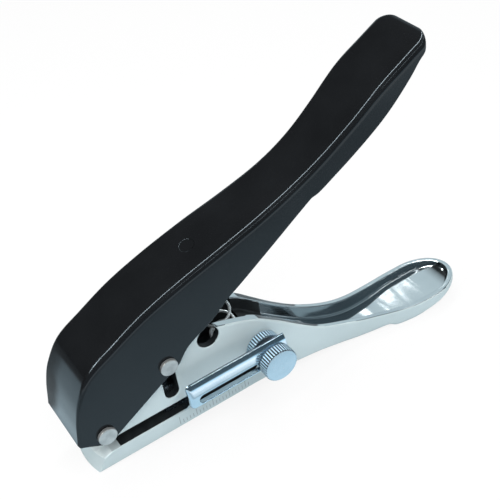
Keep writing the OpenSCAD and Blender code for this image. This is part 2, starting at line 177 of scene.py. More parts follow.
def cutAway(piece, cutters, how="DIFFERENCE"):
    for cutter in cutters:
        step = piece.modifiers.new("cut", "BOOLEAN")
        step.operation = how
        step.solver = "EXACT"
        step.object = cutter
        shape = bpy.context.evaluated_depsgraph_get()
        done = bpy.data.meshes.new_from_object(piece.evaluated_get(shape))
        piece.modifiers.clear()
        old = piece.data
        piece.data = done
        bpy.data.meshes.remove(old)
        bpy.data.objects.remove(cutter)


def shadeSoft(piece, angle=32, weighted=True):
    piece.data.shade_smooth()
    piece.data.set_sharp_from_angle(angle=math.radians(angle))
    if weighted:
        step = piece.modifiers.new("even normals", "WEIGHTED_NORMAL")
        step.keep_sharp = True


def place(piece, body, slotName, *replaced):
    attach(piece, body)
    if replaced:
        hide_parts(*replaced)


def newFinish(name):
    finish = bpy.data.materials.new(name)
    finish.use_nodes = True
    tree = finish.node_tree
    where = tree.nodes.new("ShaderNodeTexCoord")
    return finish, tree, tree.nodes["Principled BSDF"], where.outputs["Object"]


def noiseNode(tree, where, scale, detail=3.0, stretch=None):
    if stretch:
        mapping = tree.nodes.new("ShaderNodeMapping")
        mapping.inputs["Scale"].default_value = stretch
        tree.links.new(where, mapping.inputs["Vector"])
        where = mapping.outputs["Vector"]
    noise = tree.nodes.new("ShaderNodeTexNoise")
    noise.inputs["Scale"].default_value = scale
    noise.inputs["Detail"].default_value = detail
    tree.links.new(where, noise.inputs["Vector"])
    return noise.outputs["Fac"]


def spread(tree, value, low, high, start=0.3, stop=0.7):
    node = tree.nodes.new("ShaderNodeMapRange")
    for key, number in (("From Min", start), ("From Max", stop), ("To Min", low), ("To Max", high)):
        node.inputs[key].default_value = number
    tree.links.new(value, node.inputs["Value"])
    return node.outputs["Result"]


def blendColour(tree, value, first, second):
    node = tree.nodes.new("ShaderNodeMix")
    node.data_type = "RGBA"
    tree.links.new(value, node.inputs[0])
    node.inputs[6].default_value = (*first, 1)
    node.inputs[7].default_value = (*second, 1)
    return node.outputs[2]


def bumpNode(tree, height, strength, distance, under=None):
    node = tree.nodes.new("ShaderNodeBump")
    node.inputs["Strength"].default_value = strength
    node.inputs["Distance"].default_value = distance
    tree.links.new(height, node.inputs["Height"])
    if under:
        tree.links.new(under, node.inputs["Normal"])
    return node.outputs["Normal"]


# light and dark are the two tints of the cloudy plating, grain the fine lines of its roughness
metalLook = {
    "satinPlate": dict(light=(0.53, 0.62, 0.64), dark=(0.49, 0.58, 0.60), metal=0.30, rough=(0.46, 0.54), cloud=55,
                       grain=1400, stretch=(0.6, 1, 1), peel=900, peelDeep=0.00002),
    "brightPlate": dict(light=(0.64, 0.68, 0.70), dark=(0.58, 0.62, 0.64), metal=1.0, rough=(0.07, 0.12), cloud=55,
                        grain=900, stretch=(0.25, 1, 1), peel=420, peelDeep=0.00001),
    # painted light: paler, less metallic copy of the plate that stands in for the light on the ramp behind the nose
    "rampPaintedLight": dict(light=(0.70, 0.79, 0.80), dark=(0.54, 0.63, 0.65), metal=0.15, rough=(0.30, 0.42), cloud=500,
                     grain=1400, stretch=(1, 1, 1), peel=900, peelDeep=0.00003),
    # painted shade: near-black copy of the plate that stands in for the shade in the throat, the recesses and the
    # trough's start
    "paintedShade": dict(light=(0.020, 0.024, 0.026), dark=(0.012, 0.014, 0.016), metal=0.3, rough=(0.45, 0.6), cloud=300,
                   grain=900, stretch=(1, 1, 1), peel=900, peelDeep=0.00003),
    "zincRail": dict(light=(0.60, 0.72, 0.80), dark=(0.50, 0.63, 0.73), metal=1.0, rough=(0.10, 0.18), cloud=110,
                     grain=1500, stretch=(0.08, 1, 1), peel=700, peelDeep=0.00002),
    "zincKnob": dict(light=(0.60, 0.71, 0.79), dark=(0.52, 0.64, 0.73), metal=1.0, rough=(0.20, 0.28), cloud=140,
                     grain=1800, stretch=(1, 1, 1), peel=800, peelDeep=0.00002),
    # painted highlight: lighter, bluer copy of the zinc for the knurl ribs
    "zincRibLit": dict(light=(0.56, 0.80, 0.96), dark=(0.48, 0.70, 0.86), metal=0.35, rough=(0.25, 0.35), cloud=140,
                    grain=1800, stretch=(1, 1, 1), peel=800, peelDeep=0.00002),
    # painted shade: near-black copy of the zinc for the knurl grooves
    "zincGrooveShade": dict(light=(0.012, 0.020, 0.028), dark=(0.006, 0.010, 0.014), metal=0.1, rough=(0.35, 0.5),
                       cloud=140, grain=1800, stretch=(1, 1, 1), peel=800, peelDeep=0.00002),
    "pinSteel": dict(light=(0.54, 0.55, 0.54), dark=(0.38, 0.39, 0.39), metal=0.8, rough=(0.30, 0.42), cloud=420,
                     grain=2600, stretch=(1, 0.2, 1), peel=1500, peelDeep=0.00012),
    "springWire": dict(light=(0.70, 0.76, 0.78), dark=(0.56, 0.62, 0.64), metal=0.6, rough=(0.24, 0.36), cloud=300,
                       grain=3000, stretch=(1, 1, 0.2), peel=1500, peelDeep=0.00001),
    "toolSteel": dict(light=(0.30, 0.32, 0.34), dark=(0.20, 0.22, 0.24), metal=1.0, rough=(0.22, 0.34), cloud=260,
                      grain=2400, stretch=(1, 1, 0.1), peel=1500, peelDeep=0.00001),
}


# what all the metals share: detail of the noises, and how strongly peel and grain show
metalGrain = {"cloudDetail": 4, "cloudSpan": (0.35, 0.65), "grainDetail": 5, "peelDetail": 2, "peelStrength": 0.25,
              "grainStrength": 0.12, "grainDeep": 0.00001}


def metalFinish(name):
    look, kept = metalLook[name], metalGrain
    finish, tree, shader, where = newFinish(name)
    shader.inputs["Metallic"].default_value = look["metal"]
    cloud = noiseNode(tree, where, look["cloud"], kept["cloudDetail"])
    tint = blendColour(tree, spread(tree, cloud, 0, 1, *kept["cloudSpan"]), look["dark"], look["light"])
    tree.links.new(tint, shader.inputs["Base Color"])
    grain = noiseNode(tree, where, look["grain"], kept["grainDetail"], look["stretch"])
    tree.links.new(spread(tree, grain, *look["rough"]), shader.inputs["Roughness"])
    peel = noiseNode(tree, where, look["peel"], kept["peelDetail"])
    peel = bumpNode(tree, peel, kept["peelStrength"], look["peelDeep"])
    grain = bumpNode(tree, grain, kept["grainStrength"], kept["grainDeep"], peel)
    tree.links.new(grain, shader.inputs["Normal"])
    return finish


enamelLook = {
    "blackEnamel": dict(deep=(0.0048, 0.0052, 0.0058), pale=(0.0066, 0.0072, 0.0080), rough=(0.10, 0.14), gloss=0.36,
                        tint=(0.74, 0.90, 1.0), peel=520, peelDeep=0.00002),
    "scalePaint": dict(deep=(0.22, 0.27, 0.29), pale=(0.30, 0.36, 0.38), rough=(0.45, 0.6), gloss=0.3,
                       tint=(1.0, 1.0, 1.0), peel=2500, peelDeep=0.00002),
}


# what the enamel and the paint share: scale and detail of their noises
enamelGrain = {"cloud": (90, 5), "haze": (300, 4), "peelDetail": 2, "peelStrength": 0.2}


def enamelFinish(name):
    look, kept = enamelLook[name], enamelGrain
    finish, tree, shader, where = newFinish(name)
    shader.inputs["Specular IOR Level"].default_value = look["gloss"]
    shader.inputs["Specular Tint"].default_value = (*look["tint"], 1)
    cloud = noiseNode(tree, where, *kept["cloud"])
    tree.links.new(blendColour(tree, spread(tree, cloud, 0, 1), look["deep"], look["pale"]),
                   shader.inputs["Base Color"])
    haze = noiseNode(tree, where, *kept["haze"])
    tree.links.new(spread(tree, haze, *look["rough"]), shader.inputs["Roughness"])
    peel = noiseNode(tree, where, look["peel"], kept["peelDetail"])
    tree.links.new(bumpNode(tree, peel, kept["peelStrength"], look["peelDeep"]), shader.inputs["Normal"])
    return finish


finishes = {name: metalFinish(name) for name in metalLook}
finishes.update({name: enamelFinish(name) for name in enamelLook})
print("hole punch: finishes made")


# plated frame: jaw, tower, hump, neck and spoon in one casting
casting = {
    "startX": -6.0, "station": 0.75, "tipTurn": 3, "outside": -20, "above": 60,
    "jawHalf": 6.8, "throatFloor": 4.9, "throatTop": 9.1, "throatEnd": 44.5, "throatCorner": 1,
    "noseReach": 5.05, "noseRun": 1.9, "noseFront": 3.4, "noseBow": 25.8, "ramp": 3.6, "rampShade": 2.6,
    "bossRadius": 4.9, "bossFrom": 249.5, "pivot": (0.0, 14.2), "pivotSlide": 2.72, "pivotRoom": 1.35,
    "pivotEdge": 0.2, "spoonEnd": 115.3, "spoonLong": 12.0, "spoonHalf": 8.66, "neckHalf": 5.75, "rimWall": 1.7,
    "tipFloor": (0.55, 0.45), "troughDepth": 2.7, "troughStart": 43.5, "rimRound": 0.55, "innerRound": 0.4,
    "floorRound": 0.7, "edgeRound": 0.3,
    "punchX": 19.677, "pinTop": 25.15, "pinLow": 13.417, "pinRoom": 2.027, "pinEdge": 0.25,
    "notch": (32.25, 24.5), "notchRadius": 3.1, "notchEdge": 0.3, "pocketX": (26.777, 45.0), "pocketHalf": 4.8,
    "pocketCorner": 1.2, "pocketFloor": 13.6, "bushRadius": 4.5, "guideTop": 13.6, "boreRadius": 3.3,
    "screw": (46.35, 12.45), "screwRoom": 1.15, "screwDeep": 1, "post": (40.3, 1.85, 16.1), "postEdge": 0.3,
}
jawHalf, pivot, punchX = casting["jawHalf"], casting["pivot"], casting["punchX"]
spoonEnd, spoon, neck = casting["spoonEnd"], casting["spoonHalf"], casting["neckHalf"]
floorZ, roofZ, depth = casting["throatFloor"], casting["throatTop"], casting["troughDepth"]
spoonMid = spoonEnd - casting["spoonLong"]
rimPoints = [(-6, 19), (2, 19), (9.5, 22.4), (14.5, 26.8), (19.45, 28.8), (26, 28.2), (31.5, 27.2),
             (38.5, 25.1), (46.5, 21.6), (51.5, 17.6), (58.5, 11.3), (64.5, 6.6), (70.5, 3.2), (78.5, -0.1),
             (86.5, -2.1), (94.5, -3.4), (102.5, -3.9), (spoonEnd, -3.8)]
footPoints = [(-6, 0), (38, 0), (46, 0), (51.5, -1), (58.5, -2), (64.5, -2.9), (70.5, -4.6), (76.5, -6.2),
              (82.5, -7), (87.8, -7.2), (90, -8.4), (94.5, -8.7), (98.5, -8.5), (104, -7.7), (spoonEnd, -5.6)]
halfPoints = [(-6, jawHalf), (40, jawHalf), (48, jawHalf), (54.5, neck + 0.3), (64.5, neck + 0.35), (74, neck),
              (82, neck + 0.55), (90.5, spoon - 1.05), (97, spoon - 0.2), (spoonMid, spoon), (spoonEnd, spoon)]
depthPoints = [(40, 4.6), (60, 4.6), (86, 4.2), (97, depth + 0.3), (106, depth), (spoonEnd, depth - 0.7)]
wallPoints = [(40, 2.9), (49, 2.6), (56, 2), (70, casting["rimWall"] + 0.1), (spoonEnd, casting["rimWall"])]
edgePoints = [(-6, 0.5), (46, 0.5), (70, 1), (86, 1.2), (spoonEnd, 0.8)]


def frameStations():
    plan = []
    x = casting["startX"]
    while x < spoonMid - casting["station"] * 0.4:
        plan.append((x, curveAt(halfPoints, x), 1.0))
        x += casting["station"]
    for a in range(0, 91, casting["tipTurn"]):
        plan.append((spoonMid + casting["spoonLong"] * sinOf(a), spoon * cosOf(a), cosOf(a)))
    return plan


# half outline as (distance in from the wall, height), then turned square to the plan's edge
def frameRing(plan, i, trough):
    x, w, close = plan[i]
    before, after = plan[max(i - 1, 0)], plan[min(i + 1, len(plan) - 1)]
    along = Vector((after[0] - before[0], after[1] - before[1])).normalized()
    if i == len(plan) - 1:
        along = Vector((0, -1))
    top, low, r = curveAt(rimPoints, x), curveAt(footPoints, x), curveAt(edgePoints, x)
    wall, rt, ri, rf = curveAt(wallPoints, x), casting["rimRound"], casting["innerRound"], casting["floorRound"]
    tipShare, openShare = casting["tipFloor"]
    floor = top - curveAt(depthPoints, x) * (tipShare + openShare * close)
    high = top - rt
    profile = [(r * (1 - sinOf(a)), low + r * (1 - cosOf(a))) for a in range(0, 91, 15)]
    profile += [(0, low + r + (high - low - r) * k / 4) for k in (1, 2, 3)]
    profile += [(rt * (1 - cosOf(a)), high + rt * sinOf(a)) for a in range(0, 91, 18)]
    inner = [(wall - ri * (1 - sinOf(a)), top - ri * (1 - cosOf(a))) for a in range(0, 91, 18)]
    inner += [(wall, (top - ri) * (1 - k / 3) + (floor + rf) * k / 3) for k in (1, 2)]
    inner += [(wall + rf * (1 - cosOf(a)), floor + rf * (1 - sinOf(a))) for a in range(0, 91, 15)]
    profile += inner if trough else [(d, top) for d, z in inner]
    half = [(x + along.y * d, w - along.x * d, z) for d, z in profile]
    return [(p[0], -p[1], p[2]) for p in half] + [p for p in reversed(half)]


plan = frameStations()
start = next(i for i, p in enumerate(plan) if p[0] >= casting["troughStart"])
rings = [frameRing(plan, i, i >= start) for i in range(len(plan))]
frameCasting = loftPiece("frameCasting", rings, finishes["satinPlate"])
for name in ("brightPlate", "paintedShade", "rampPaintedLight"):
    frameCasting.data.materials.append(finishes[name])


# what lies in front of the bowed, slanted nose
def noseCutter():
    lean = casting["noseRun"] / casting["noseFront"]
    bow, outside, below = casting["noseBow"], casting["outside"], 1
    wide = bow * math.hypot(1, lean)
    rings = []
    for k in range(-16, 17):
        y = k / 2
        x = -casting["noseReach"] + wide * (1 - math.sqrt(1 - (y / bow) ** 2))
        rings.append([(outside, y, -below), (x - lean * below, y, -below), (x + lean * floorZ, y, floorZ),
                      (outside, y, floorZ)])
    return loftPiece("cutter", rings)


def screwHole():
    hole = circleOutline(casting["screw"], casting["screwRoom"], 32)
    ends = (casting["outside"], casting["screwDeep"])
    return loftPiece("cutter", [[(p[0], y, p[1]) for p in hole] for y in ends])


def springPost():
    x, r, top = casting["post"]
    edge = casting["postEdge"]
    rows = [(casting["pocketFloor"] - 1, r), (top - edge, r), (top - edge * 0.3, r - edge * 0.3), (top, r - edge)]
    return loftPiece("post", [[(p[0], p[1], z) for p in circleOutline((x, 0), q)] for z, q in rows])


tip, soft = -casting["noseReach"], casting["throatCorner"]
outside, above = casting["outside"], casting["above"]
lip = (tip + casting["noseRun"], casting["noseFront"])
rampEnd = lip[0] + casting["ramp"]
throatEnd = casting["throatEnd"]
throat = [(outside, -5), (tip - 3, -5), (tip, 0), lip, (rampEnd, floorZ),
          (rampEnd + casting["rampShade"], floorZ), (throatEnd - soft, floorZ), (throatEnd, floorZ + soft),
          (throatEnd, roofZ - soft), (throatEnd - soft, roofZ), (outside, roofZ)]
boss = arcPoints(pivot, casting["bossRadius"], casting["bossFrom"], 90, 24)
aroundBoss = [(outside, roofZ - soft), (boss[0][0], roofZ - soft)] + boss + [(0, above), (outside, above)]
corner = casting["pocketCorner"]
left, right = casting["pocketX"][0] + corner, casting["pocketX"][1] - corner
side = casting["pocketHalf"] - corner
pocket = []
for cx, cy, a in ((right, side, 0), (left, side, 90), (left, -side, 180), (right, -side, 270)):
    pocket += arcPoints((cx, cy), corner, a, a + 90, 6)
pinSlot = slotOutline((punchX, casting["pinLow"]), (punchX, casting["pinTop"]), casting["pinRoom"])
pivotSlot = slotOutline((pivot[0] - casting["pivotSlide"], pivot[1]), pivot, casting["pivotRoom"])
cutAway(frameCasting, [
    noseCutter(),
    cutterAcross(throat, jawHalf, casting["edgeRound"]),
    cutterAcross(aroundBoss, jawHalf),
    uprightCutter(pocket, casting["pocketFloor"], above),
    uprightCutter(circleOutline((punchX, 0), casting["bushRadius"]), -1, casting["guideTop"]),
    uprightCutter(circleOutline((punchX, 0), casting["boreRadius"]), casting["guideTop"] - 0.5, above),
    cutterAcross(pinSlot, jawHalf, casting["pinEdge"]),
    cutterAcross(circleOutline(casting["notch"], casting["notchRadius"], 56), jawHalf, casting["notchEdge"]),
    cutterAcross(pivotSlot, jawHalf, casting["pivotEdge"]),
    screwHole(),
])
cutAway(frameCasting, [springPost()], "UNION")


# where each finish of the frame begins and ends; slack keeps faces on a border in their zone
zones = {"slack": 0.02, "gap": 0.2, "recessFrom": 5, "recessBelow": 0.5, "wellFloor": 4, "wellEnd": 53.0,
         "wellBelow": 0.5, "brightFrom": 28, "wallEdge": 0.5, "rimEdge": 0.1, "footEdge": 1.2,
         "facesUp": 0.3, "rampFacesUp": 0.5, "edgeFacesUp": 0.85, "tipFacesOut": 0.2}


# 0 satin outside, 1 bright rim and trough, 2 painted shade: recesses painted near black, 3 painted light: the ramp
# behind the nose painted paler
def frameZone(centre, normal):
    x, y, z = centre
    slack, gap, rimZ = zones["slack"], zones["gap"], curveAt(rimPoints, x)
    inside = abs(y) < jawHalf - casting["edgeRound"] - slack
    # painted light on the ramp behind the nose
    if x < rampEnd and lip[1] < z < floorZ and normal[2] > zones["rampFacesUp"]:
        return 3
    # painted shade on the throat's floor and roof, in the recesses and at the trough's start
    if inside and rampEnd + casting["rampShade"] < x < throatEnd + gap and floorZ - slack < z < roofZ + slack:
        return 2
    inRecess = roofZ + gap / 2 < z < rimZ - zones["recessBelow"]
    if inside and zones["recessFrom"] < x < casting["pocketX"][1] + gap and inRecess:
        return 2
    wallIn = curveAt(halfPoints, x) - zones["wallEdge"]
    inWell = floorZ + zones["wellFloor"] < z < rimZ - zones["wellBelow"]
    if abs(y) < wallIn and throatEnd < x < zones["wellEnd"] and inWell:
        return 2
    outerRim = normal[1] * y > 0 and abs(y) > wallIn - zones["rimEdge"]
    outerTip = x > spoonMid and normal[0] > zones["tipFacesOut"]
    if (outerRim or outerTip) and normal[2] < zones["edgeFacesUp"]:
        return 0
    facesIn = normal[1] * y < 0 and abs(y) < wallIn and z > curveAt(footPoints, x) + zones["footEdge"]
    return 1 if x > zones["brightFrom"] and (normal[2] > zones["facesUp"] or facesIn) else 0


for face in frameCasting.data.polygons:
    face.material_index = frameZone([v / mm for v in face.center], face.normal)
shadeSoft(frameCasting)
place(frameCasting, "frame", "plated_frame", "frame")
print("hole punch: frame casting", len(frameCasting.data.polygons), "faces")


# millimetre scale below the rail, thin paint strokes on the near wall of the lower jaw
scale = {"firstX": 19.7, "step": 1.0, "count": 24, "low": 1.0, "short": 1.2, "long": 2.6, "wide": 0.16,
         "proud": 0.012, "sunk": 0.05, "longEvery": 5}


def scaleStrokes():
    points, faces = [], []
    for i in range(scale["count"]):
        x, tall = scale["firstX"] + i * scale["step"], scale["short" if i % scale["longEvery"] else "long"]
        w, low, base = scale["wide"] / 2, scale["low"], len(points)
        for y in (-jawHalf + scale["sunk"], -jawHalf - scale["proud"]):
            points += [(x - w, y, low), (x + w, y, low), (x + w, y, low + tall), (x - w, y, low + tall)]
        faces += [tuple(base + k for k in face) for face in
                  ((0, 1, 2, 3), (7, 6, 5, 4), (0, 4, 5, 1), (1, 5, 6, 2), (2, 6, 7, 3), (3, 7, 4, 0))]
    return meshPiece("scaleStrokes", points, faces, finishes["scalePaint"])


place(scaleStrokes(), "frame", "plated_frame")


# black lever: pressed channel with rounded top edges and rolled lower rims
channel = {
    "half": 9.2, "waist": 1.0, "cheek": 1.9, "topWall": 2.0, "rim": 0.45, "innerEdge": 0.95,
    "tailCorner": 3.6, "tailIn": 5.4, "steps": 10, "solidFrom": 15.5, "cheekEnd": 3.35, "pivotRoom": 1.35,
    "pin": (19.45, 25.05), "pinRadius": 1.4, "holeEdge": 0.2, "studX": 34.7, "studRadius": 1.85,
    "leastReach": 0.35, "edgeShare": 0.8, "rimShare": 0.2, "steepest": 0.4, "flatTop": 0.25, "flatInside": 0.4,
    "studRows": [(-3.5, 0), (-0.22, 0), (-0.12, 0.05), (-0.04, 0.14), (0.02, 0.28), (0.6, 0.4)],
}
topPoints = [(-8, 12.4), (-7.15, 16.2), (-5.95, 22.2), (-3.9, 28.1), (0.4, 34.5), (7.2, 38.5), (16, 42.9),
             (26.5, 46.6), (38, 49.8), (50, 52.9), (60.5, 56.3), (69.5, 60.5), (78, 66), (87, 72.6), (94.5, 76.7),
             (98.5, 78.8), (101.4, 80.2), (103, 80.75), (103.5, 80)]
underPoints = [(-5.6, 9.8), (-3.4, 8.8), (0, 8.4), (3, 9), (7.5, 11), (13, 14), (21.5, 18.8), (32, 26), (43.5, 34),
               (55.5, 41.4), (66, 47), (74, 51.6), (82.5, 57.2), (91.5, 64.4), (97.4, 68.9), (100, 71),
               (101.4, 72.8), (102, 73.8), (102.3, 74.4)]
edgeRounds = [(-8, 0.7), (-5.5, 0.8), (-2.5, 1.3), (2, 1.9), (20, 1.9), (120, 1.9)]
waistPoints = [(-20, 0), (36, 0), (48, 0.4), (62, 1), (72, 0.85), (86, -0.1), (98, -0.05), (120, 0)]
lowerEdge = ([(-30, 22), (-8.6, 16.2), (-7.3, 14.55)] + arcPoints(pivot, channel["cheekEnd"], 241, 300, 10)
             + [(22.65, 23.6)]
             + smoothPath([(24.85, 26.6), (27.5, 28.5), (31.7, 30.5), (34.3, 32.1), (38.5, 35.4), (41.3, 37)], 6)
             + [(66, 51.2), (67.6, 51.4)]
             + smoothPath([(69.8, 52.4), (78.2, 57.3), (87.8, 64.2), (95.9, 71.6), (99.8, 75.9), (104.5, 79.2)], 6)
             + [(140, 92)])
topLine = [Vector((p.x, min(p.y, topPoints[-2][1]))) for p in smoothPath(topPoints, channel["steps"])]
underLine = smoothPath(underPoints, channel["steps"])
tailX = max(p.x for p in topLine)


# how far a line from the top reaches before it meets the cheeks' lower edge
def edgeReach(start, towards):
    best, tiny, past = None, 1e-9, 1e-6
    for a, b in zip(lowerEdge, lowerEdge[1:]):
        a, b = Vector(a), Vector(b)
        e, g = b - a, a - start
        det = towards.x * -e.y + e.x * towards.y
        if abs(det) < tiny:
            continue
        s = (g.x * -e.y + e.x * g.y) / det
        t = (towards.x * g.y - towards.y * g.x) / det
        if -past <= t <= 1 + past and s > -1 and (best is None or s < best):
            best = s
    return best


def leverHalf(x):
    u = max(0, x - tailX + channel["tailCorner"]) / channel["tailCorner"]
    return (channel["half"] - channel["waist"] * curveAt(waistPoints, x)
            - channel["tailIn"] * (1 - math.sqrt(max(0, 1 - u * u))))


# half outline as (y, distance down from the top line): outside, rolled rim, inside
def leverRing(i):
    start, n = topLine[i], len(topLine)
    towards = (underLine[i] - start).normalized()
    reach = edgeReach(start, towards)
    if reach is None or reach < channel["leastReach"]:
        return None
    run = (topLine[min(i + 1, n - 1)] - topLine[max(i - 1, 0)]).normalized()
    w = leverHalf(start.x)
    r = min(curveAt(edgeRounds, start.x), reach * channel["edgeShare"])
    rim = min(channel["rim"], reach * channel["rimShare"])
    side = w - channel["cheek"]
    deep = channel["topWall"] / max(channel["steepest"], towards.dot(Vector((run.y, -run.x))))
    if i >= channel["solidFrom"] * channel["steps"]:
        deep = reach
    deep = min(deep, reach - 0.01)
    ri = min(channel["innerEdge"], max(0.0, reach - deep - rim))
    hollow = reach - deep > 2 * rim
    half = [(0, 0), (w * channel["flatTop"], 0)]
    half += [(w - r + r * sinOf(a), r * (1 - cosOf(a))) for a in range(0, 91, 9)]
    half += [(w, r + (reach - rim - r) * k / 6) for k in range(1, 6)]
    half += [(w - rim + rim * cosOf(a), reach - rim + rim * sinOf(a)) for a in range(0, 91, 18)]
    if hollow:
        half += [(side + rim - rim * sinOf(a), reach - rim + rim * cosOf(a)) for a in range(0, 91, 18)]
        half += [(side, (reach - rim) * (1 - k / 4) + (deep + ri) * k / 4) for k in (1, 2, 3)]
    else:
        half += [(side, reach)] * 9
    half += [(side - ri * (1 - cosOf(a)), deep + ri * (1 - sinOf(a))) for a in range(0, 91, 18)]
    half += [(side * channel["flatInside"], deep), (0, deep)]
    out = [(start.x + towards.x * s, -y, start.y + towards.y * s) for y, s in half]
    return out + [(p[0], -p[1], p[2]) for p in reversed(out)]


# bore for the spring's stud, opened a little at the top so that its ring shows
def studBore():
    i = max(k for k in range(len(topLine)) if topLine[k].x <= channel["studX"])
    along = (topLine[i + 1] - topLine[i]).normalized()
    middle = topLine[i] + along * ((channel["studX"] - topLine[i].x) / along.x)
    rings = []
    for z, r in channel["studRows"]:
        ring = []
        for p in circleOutline((0, 0), channel["studRadius"] + r, 56):
            ring.append((middle.x + along.x * p[0] - along.y * z, p[1], middle.y + along.y * p[0] + along.x * z))
        rings.append(ring)
    return loftPiece("cutter", rings)


rings = [ring for ring in (leverRing(i) for i in range(len(topLine))) if ring]
leverShell = loftPiece("leverShell", rings, finishes["blackEnamel"])
cutAway(leverShell, [
    cutterAcross(circleOutline(pivot, channel["pivotRoom"]), channel["half"], channel["holeEdge"]),
    cutterAcross(circleOutline(channel["pin"], channel["pinRadius"]), channel["half"], channel["holeEdge"]),
    studBore(),
])
shadeSoft(leverShell)
place(leverShell, "lever", "black_lever", "lever")
print("hole punch: lever shell", len(leverShell.data.polygons), "faces")


# riveted pins, turned with slightly dished heads
rivet = {"outer": 10.2, "inner": 9.3, "bevel": 0.25, "dish": 0.06, "steps": 72, "dishRows": [(0.45, 0.8), (0.7, 0.2)],
         "rimFlat": 1.3, "shankEnd": 3.0, "axis": 0.001, "pivotShank": 1.3, "pivotHead": 2.5, "punchShank": 1.4,
         "punchHead": 2.36}


def rivetPiece(name, centre, shank, head):
    bevel, outer, inner, dish = rivet["bevel"], rivet["outer"], rivet["inner"], rivet["dish"]
    end = [(rivet["axis"], outer - dish)] + [(head * r, outer - dish * d) for r, d in rivet["dishRows"]]
    end.append((head - bevel * rivet["rimFlat"], outer))
    end += [(head - bevel + bevel * sinOf(a), outer - bevel + bevel * cosOf(a)) for a in (0, 22.5, 45, 67.5, 90)]
    end += [(head, inner + dish), (head - dish, inner), (shank, inner), (shank, rivet["shankEnd"])]
    profile = [(r, -y) for r, y in end] + [(r, y) for r, y in reversed(end)]
    piece = turnedPiece(name, centre, profile, rivet["steps"], finishes["pinSteel"])
    shadeSoft(piece)
    return piece


place(rivetPiece("pivotRivet", pivot, rivet["pivotShank"], rivet["pivotHead"]), "pivot", "pin_steel", "pivot_pin")
place(rivetPiece("punchRivet", channel["pin"], rivet["punchShank"], rivet["punchHead"]), "lever", "pin_steel",
      "punch_pin")


# paper stop: folded rail, knurled clamp knob and knurled thumb nut
stop = {
    "screw": casting["screw"], "radius": 4.8, "knobFront": 16.4, "knobBack": 13.2, "knobBevel": 0.42,
    "knobFlat": 0.55, "screwRadius": 1.1, "axis": 0.001, "nutFront": 9.52, "nutBack": 6.92, "nutBevel": 0.3,
    "stepFront": 11.0, "stepRadius": 4.4, "smallEdge": 0.2, "nutBore": 1.15, "knurls": 40, "perKnurl": 8,
    "knurlDeep": 0.36, "knurlPower": 0.7, "grooveShare": 0.2, "rimFrom": 0.1, "rimFaces": 0.5, "softFrom": 40,
    "front": 21.45, "end": 50.8, "low": 9.6, "high": 17.5, "face": 13.1, "flange": 2.0, "bend": 1.8, "sheet": 0.8,
    "crown": [(0, -4.6), (0, -3.6), (0.02, -3.35), (0.18, -2.85), (0.62, -1.7), (0.98, -0.95), (1.45, -0.3),
              (1.95, 0)],
    "frontRound": 1.4, "endRound": (0.25, 0.07), "slotFrom": 2.5, "slotHalf": 1.3, "slotPast": 0.3,
    "railRound": 0.2, "tabReach": 2.3, "tabLow": 0.5, "tabHigh": 0.6, "tabTop": (1.4, 1.2), "tabKnee": (2.3, 1.75),
    "tabGap": (0.4, 0.7), "tabFoot": 1.4,
}


# section of the rail as (y, z): round lower bend, flat face, leaning band and round upper bend
def railOutline(inset):
    y0, low, high, deep = -stop["face"], stop["low"], stop["high"], stop["bend"]
    back = y0 + stop["flange"]
    outline = [(back, low)] + [(y0 + deep * (1 - sinOf(a)), low + deep * (1 - cosOf(a))) for a in range(0, 91, 9)]
    outline += smoothPath([(y0 + y, high + z) for y, z in stop["crown"]], 5) + [(back, high)]
    middle, half = (low + high) / 2, (high - low) / 2
    outline = [(back + (y - back) * (1 - inset / stop["flange"]), middle + (z - middle) * (1 - inset / half))
               for y, z in outline]
    if inset == stop["sheet"]:
        outline[0], outline[-1] = (back + 1, outline[0][1]), (back + 1, outline[-1][1])
    return outline


def railRing(x, inset):
    return [(x, y, z) for y, z in railOutline(inset)]


# tab at the front end that reaches into the throat and stops the paper
def railTab():
    face, bend, back = -stop["face"], -stop["face"] + stop["bend"], -stop["face"] + stop["flange"]
    inner, low, high = -(jawHalf - stop["tabReach"]), floorZ + stop["tabLow"], roofZ - stop["tabHigh"]
    kneeY, kneeZ = stop["tabKnee"]
    gapHigh, gapLow = stop["tabGap"]
    tab = [(bend, stop["high"] - stop["tabTop"][0]), (back, stop["high"] - stop["tabTop"][1]),
           (face + kneeY, stop["screw"][1] + kneeZ), (-jawHalf - gapHigh, high), (inner, high), (inner, low),
           (-jawHalf - gapLow, low), (bend, stop["low"] + stop["tabFoot"])]
    return loftPiece("tab", [[(x, y, z) for y, z in tab] for x in (stop["front"], stop["front"] + stop["sheet"])])


frontRound, railFront, railEnd = stop["frontRound"], stop["front"], stop["end"]
endRound, endMid = stop["endRound"]
rings = [railRing(railFront + frontRound * (1 - sinOf(a)), frontRound * (1 - cosOf(a))) for a in range(90, -1, -10)]
rings += [railRing(railEnd - endRound, 0), railRing(railEnd - endMid, endMid), railRing(railEnd, endRound)]
railSheet = loftPiece("railSheet", rings, finishes["zincRail"])
slotStart = (railFront + stop["slotFrom"] + stop["slotHalf"], stop["screw"][1])
slotStop = (stop["screw"][0] + stop["slotPast"], stop["screw"][1])
cutAway(railSheet, [
    loftPiece("cutter", [railRing(x, stop["sheet"]) for x in (railFront + stop["sheet"], railEnd + 1)]),
    cutterAcross(slotOutline(slotStart, slotStop, stop["slotHalf"]), stop["face"], stop["railRound"]),
])
cutAway(railSheet, [railTab()], "UNION")
shadeSoft(railSheet)
place(railSheet, "stop", "zinc_rail", "stop_rail")


# flat ribs with grooves between them
def knurl(a):
    return stop["knurlDeep"] * max(0, -math.cos(a * stop["knurls"])) ** stop["knurlPower"]


